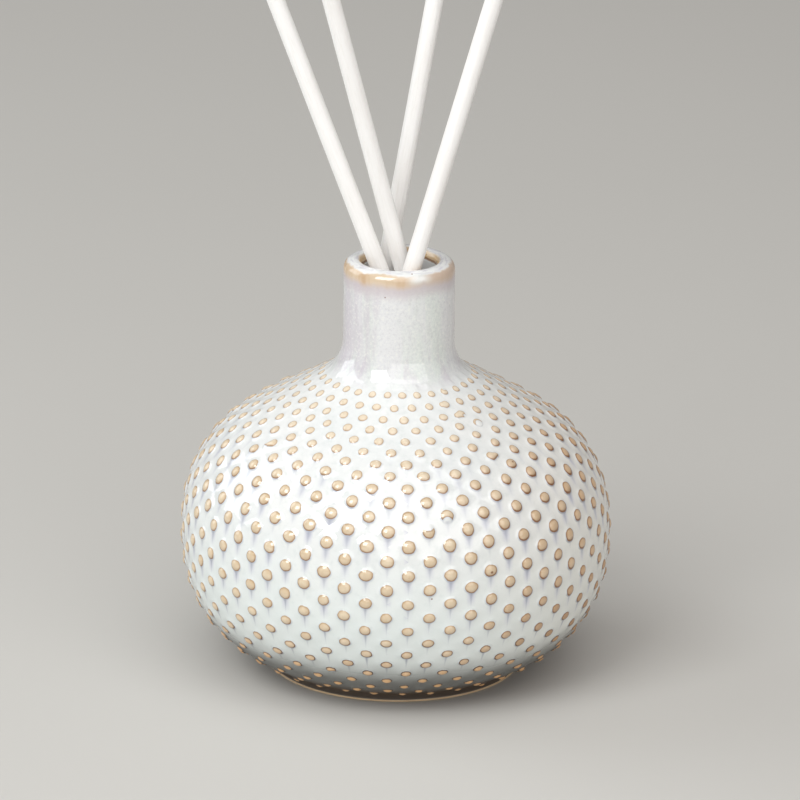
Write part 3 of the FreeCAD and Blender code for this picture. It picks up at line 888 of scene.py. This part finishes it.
def disc_colour(shader, spot, grain, shaded_foot_band):
    """A disc's tan: pale on the shoulder and orange in the shaded band by the foot; painted shade makes it
    browner on the +X side, away from the key light, and on the low rows, and darker on its lower side.
    """
    cloudy = shader.noise(spot.place, 330.0, 3.0, 0.5)
    tan = shader.mix(shader.smooth(cloudy, 0.35, 0.68), srgb(226, 204, 172), srgb(238, 221, 193))
    tan = shader.tint(tan, srgb(216, 188, 151), spot.tint, 0.30)
    tan = shader.tint(tan, srgb(250, 237, 216), spot.shoulder, 0.62)
    # painted shade on the +X side, away from the key light: the discs turn browner, less so at the waist
    waist = shader.window(spot.along, -0.010, 0.004, 0.016, 0.030)
    side_shade = shader.times(spot.shade_side, shader.minus(0.76, shader.times(waist, 0.28)))
    tan = shader.mix(side_shade, tan, srgb(186, 134, 84))
    # painted shade: browner discs on the low rows
    tan = shader.tint(tan, srgb(194, 146, 98), spot.low_rows, 0.45)
    # painted shade: much darker discs low down on the +X side
    low_side_shade = shader.times(spot.shade_side, shader.smooth(spot.along, 0.004, -0.022))
    tan = shader.tint(tan, srgb(132, 84, 10), low_side_shade, 0.85)
    tan = shader.tint(tan, srgb(230, 176, 112), shaded_foot_band, 0.85)
    tan = shader.tint(tan, srgb(196, 158, 116), shader.smooth(grain, 0.60, 0.76), 0.30)
    tan = shader.tint(tan, srgb(202, 165, 122), shader.smooth(spot.edge, -0.55, -0.05), 0.40)
    # painted shade: the lower side of each disc, turned to its lower right on the +X side, is darker
    under = shader.plus(0.15, shader.times(spot.shade_weight, 0.70))
    under = shader.times(shader.smooth(spot.slant, -0.10, -1.0), under)
    return shader.mix(under, tan, srgb(138, 92, 54))


def burnt_and_shaded_rim(shader, spot, tan):
    """A disc's outline burnt brown, and a pit in it; painted shade widens and darkens the outline at the
    disc's lower edge, on the +X side away from the key light and on the low rows.
    """
    # painted shade: the outline grows stronger towards the disc's lower edge, low down and on the +X side
    low_side = shader.plus(0.42, shader.times(shader.smooth(spot.y, 0.6, -0.9), 0.5))
    strength = shader.plus(low_side, spot.low_rows, shader.times(spot.shade_side, 0.5))
    strength = shader.times(strength, shader.minus(1.0, shader.times(spot.shoulder, 0.4)))
    # painted shade: the outline widens on the lower right of discs low down and on the +X side
    lower = shader.times(shader.smooth(spot.slant, 0.2, -0.9), shader.plus(spot.low_rows, spot.shade_side))
    rim = shader.plus(spot.edge, shader.times(lower, 0.22))
    burnt = shader.times(shader.smooth(rim, -0.30, -0.03), strength)
    # painted shade: the outline's brown turns near black on the low rows
    brown = shader.mix(spot.low_rows, srgb(132, 86, 50), srgb(60, 34, 14))
    tan = shader.mix(shader.math("MINIMUM", burnt, 1.0), tan, brown)
    return shader.tint(tan, srgb(128, 84, 46), spot.pit, 0.9)


def glaze():
    """Glossy white glaze over the whole pot, bare tan discs on its hobnails, and a bare foot ring."""
    shader = Shader("hobnail_glaze")
    spot = find_spot(shader)
    place, along = spot.place, spot.along
    grain = shader.noise(place, 1400.0, 3.0, 0.6)
    colour = ground_colour(shader, spot)
    colour = neck_runs(shader, place, along, colour)
    colour = rim_colour(shader, place, along, colour)
    # painted shade near the foot; its band mask also makes the glaze rougher there and the discs orange
    colour, shaded_foot_band = painted_foot_shade(shader, place, along, colour)
    disc = shader.smooth(spot.edge, 0.03, -0.05)
    colour = shader.mix(disc, colour, burnt_and_shaded_rim(shader, spot, disc_colour(shader, spot, grain, shaded_foot_band)))
    colour = iron_specks(shader, place, colour)
    colour, bare = foot_colour(shader, place, along, colour)
    shader.set("Base Color", colour)

    smear = shader.noise(place, 300.0, 3.0, 0.6)
    rough = shader.plus(0.01, shader.times(smear, 0.03), shader.times(disc, 0.02), shader.times(shaded_foot_band, 0.42))
    shader.set("Roughness", shader.math("MAXIMUM", rough, shader.times(bare, 0.8)))
    shader.set("IOR", GLAZE_IOR)
    ripple = shader.plus(shader.noise(place, 230.0, 2.0), shader.times(grain, 0.06))
    shader.bump(ripple, 0.00010, 0.5)
    return shader.material


# ---------------- the reeds

REED_COLUMNS = 48
REED_SECTIONS = 120
CUT_RINGS = (0.93, 0.80, 0.62, 0.42, 0.22)


def reed_line(name):
    """A reed's lower end, its direction and its length, from its CAD node and its joint."""
    joint = next(item for item in frame["joints"] if item["child"] == f"reed_{name}")
    direction = Vector(joint["axis"]).normalized()
    low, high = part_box(f"reed_{name}")
    slope = math.sqrt(1 - direction.z ** 2)
    length = (high.z - low.z - 2 * REED_RADIUS * slope) / direction.z
    return (low + high) / 2 - direction * length / 2, direction, length


def reed_shape(length, random):
    """A bonded-fibre stick: faint lengthwise ribs, and cut ends where the fibres' tips stand proud."""
    angle = np.arange(REED_COLUMNS) * 2 * math.pi / REED_COLUMNS
    ribs = 1 + 0.010 * np.sin(angle * 9 + 0.4) + random.normal(0, 0.006, REED_COLUMNS)
    vertices, faces = [], []

    def ring(height, share, rough):
        radius = REED_RADIUS * share * (ribs + random.normal(0, 0.003, REED_COLUMNS))
        level = height + random.normal(0, rough, REED_COLUMNS)
        start = len(vertices)
        vertices.extend(zip(radius * np.cos(angle), radius * np.sin(angle), level))
        return start

    def band(low, high):
        for n in range(REED_COLUMNS):
            after = (n + 1) % REED_COLUMNS
            faces.append((low + n, low + after, high + after, high + n))

    tips, smooth = 0.00007, 0.00001
    rings = [ring(0.00010, share, tips) for share in reversed(CUT_RINGS)]
    rings += [ring(0.00004, 0.985, smooth)]
    for n in range(REED_SECTIONS + 1):
        rings.append(ring(0.0002 + (length - 0.0004) * n / REED_SECTIONS, 1.0, smooth))
    rings += [ring(length - 0.00004, 0.985, smooth)]
    rings += [ring(length - 0.00010, share, tips) for share in CUT_RINGS]
    for low, high in zip(rings, rings[1:]):
        band(low, high)
    for start, height, order in ((rings[0], 0.00012, -1), (rings[-1], length - 0.00012, 1)):
        vertices.append((0.0, 0.0, height))
        middle = len(vertices) - 1
        for n in range(REED_COLUMNS):
            pair = (start + n, start + (n + 1) % REED_COLUMNS)[::order]
            faces.append((pair[0], pair[1], middle))
    return vertices, faces


def make_reed(name, number):
    foot, direction, length = reed_line(name)
    vertices, faces = reed_shape(length, np.random.default_rng(SEED + 1 + number))
    mesh = bpy.data.meshes.new(f"reed_{name}_stick")
    mesh.from_pydata([tuple(map(float, v)) for v in vertices], [], faces)
    mesh.shade_smooth()
    mesh.materials.append(reed_fibre(name, number))
    piece = add_object(f"reed_{name}_stick", mesh)
    piece.matrix_world = Matrix.Translation(foot) @ direction.to_track_quat("Z", "Y").to_matrix().to_4x4()
    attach(piece, f"reed_{name}")
    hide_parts(f"reed_{name}")


def reed_fibre(name, number):
    """Matt white polyester fibre: fine lengthwise strands, a little darker where it stands in the oil."""
    shader = Shader(f"reed_fibre_{name}")
    place = shader.place()
    own = shader.vector("ADD", place, (number * 0.37, number * 0.21, number * 0.13)).outputs[0]
    strands = shader.noise(shader.stretch(own, (1.0, 1.0, 0.06)), 2600.0, 4.0, 0.6)
    pores = shader.noise(own, 1900.0, 4.0, 0.65)
    clouds = shader.noise(shader.stretch(own, (1.0, 1.0, 0.35)), 140.0, 3.0, 0.5)
    colour = shader.mix(shader.smooth(clouds, 0.35, 0.7), srgb(254, 253, 252), srgb(250, 248, 246))
    colour = shader.tint(colour, srgb(232, 228, 222), shader.smooth(strands, 0.45, 0.8), 0.35)
    colour = shader.tint(colour, srgb(220, 213, 204), shader.smooth(pores, 0.6, 0.8), 0.35)
    _, _, height = shader.split(place)
    wet = shader.smooth(height, 0.062, 0.020)
    colour = shader.tint(colour, srgb(226, 206, 170), wet, 0.7)
    shader.set("Base Color", colour)
    shader.set("Roughness", shader.minus(0.85, shader.times(wet, 0.45)))
    shader.set("Sheen Weight", 0.25)
    shader.set("Sheen Roughness", 0.5)
    shader.set("Specular IOR Level", 0.3)
    relief = shader.plus(shader.times(strands, 0.7), shader.times(pores, 0.5))
    shader.bump(relief, 0.00008, 0.55)
    return shader.material


# ---------------- the oil

def finish_oil():
    """The oil keeps its CAD shape and gets a clear, faintly amber liquid."""
    shader = Shader("fragrance_oil_liquid")
    place = shader.place()
    clouds = shader.noise(place, 45.0, 3.0, 0.5)
    amber = shader.mix(shader.smooth(clouds, 0.3, 0.7), srgb(232, 205, 140), srgb(240, 220, 165))
    shader.set("Base Color", amber)
    film = shader.noise(place, 160.0, 3.0, 0.5)
    shader.set("Roughness", shader.plus(0.02, shader.times(film, 0.03)))
    shader.set("IOR", 1.46)
    shader.set("Transmission Weight", 0.4)
    node = frame["nodes"]["fragrance_oil"]
    node.data.materials.clear()
    node.data.materials.append(shader.material)


# ---------------- the stage

CAMERA_TARGET = Vector((0.00056, 0.0, 0.06327))
CAMERA_DISTANCE = 1.583
CAMERA_DROP = 0.32247              # how far the camera looks down, in radians
CAMERA_ROLL = 0.01417
CAMERA_LENS = 309.19               # on a sensor 36 mm wide


def make_camera():
    data = bpy.data.cameras.new("camera")
    data.lens = CAMERA_LENS
    data.sensor_width = 36.0
    data.clip_start = 0.05
    data.clip_end = 50.0
    camera = add_object("camera", data)
    back = Vector((0.0, -math.cos(CAMERA_DROP), math.sin(CAMERA_DROP)))
    camera.location = CAMERA_TARGET + back * CAMERA_DISTANCE
    turn = (-back).to_track_quat("-Z", "Y") @ Quaternion((0.0, 0.0, 1.0), CAMERA_ROLL)
    camera.rotation_mode = "QUATERNION"
    camera.rotation_quaternion = turn
    bpy.context.scene.camera = camera


def soft_box(name, azimuth, elevation, distance, width, height, power, colour):
    """A rectangular lamp that faces the pot. Azimuth 0 is the front and grows towards +X."""
    data = bpy.data.lights.new(name, "AREA")
    data.shape = "RECTANGLE"
    data.size = width
    data.size_y = height
    data.energy = power
    data.color = colour
    lamp = add_object(name, data)
    side, rise = math.radians(azimuth), math.radians(elevation)
    way = Vector((math.sin(side) * math.cos(rise), -math.cos(side) * math.cos(rise), math.sin(rise)))
    lamp.location = Vector((0.0, 0.0, 0.05)) + way * distance
    lamp.rotation_mode = "QUATERNION"
    lamp.rotation_quaternion = way.to_track_quat("Z", "Y")


def make_lights():
    soft_box("key_box", -36.0, 40.0, 1.1, 0.60, 0.60, 5.3, (0.98, 1.0, 1.0))
    soft_box("front_box", 20.0, 34.0, 2.4, 3.0, 2.2, 19.2, (1.0, 0.985, 0.97))
    soft_box("top_box", 10.0, 68.0, 1.5, 1.3, 1.2, 4.1, (1.0, 0.995, 0.99))
    soft_box("side_box", -108.0, 28.0, 1.3, 0.8, 1.1, 4.0, (0.92, 0.98, 1.0))
    world = bpy.data.worlds.new("studio")
    world.use_nodes = True
    background = world.node_tree.nodes["Background"]
    background.inputs["Color"].default_value = (1.0, 0.965, 0.925, 1.0)
    background.inputs["Strength"].default_value = 0.32
    bpy.context.scene.world = world


def make_floor():
    mesh = bpy.data.meshes.new("floor")
    reach = 12.0
    mesh.from_pydata([(-reach, -reach, 0), (reach, -reach, 0), (reach, reach, 0), (-reach, reach, 0)], [],
                     [(0, 1, 2, 3)])
    shader = Shader("pale_floor")
    cloud = shader.noise(shader.place(), 3.0, 2.0)
    shader.set("Base Color", shader.mix(cloud, srgb(208, 206, 202), srgb(214, 212, 208)))
    shader.set("Roughness", 0.7)
    mesh.materials.append(shader.material)
    floor = add_object("floor", mesh)
    floor.location.z = -0.0001


make_camera()
make_lights()
make_floor()
make_pot()
for number, reed_name in enumerate(REED_NAMES):
    make_reed(reed_name, number)
finish_oil()
bpy.context.scene.view_settings.view_transform = "Standard"

bpy.context.view_layer.update()
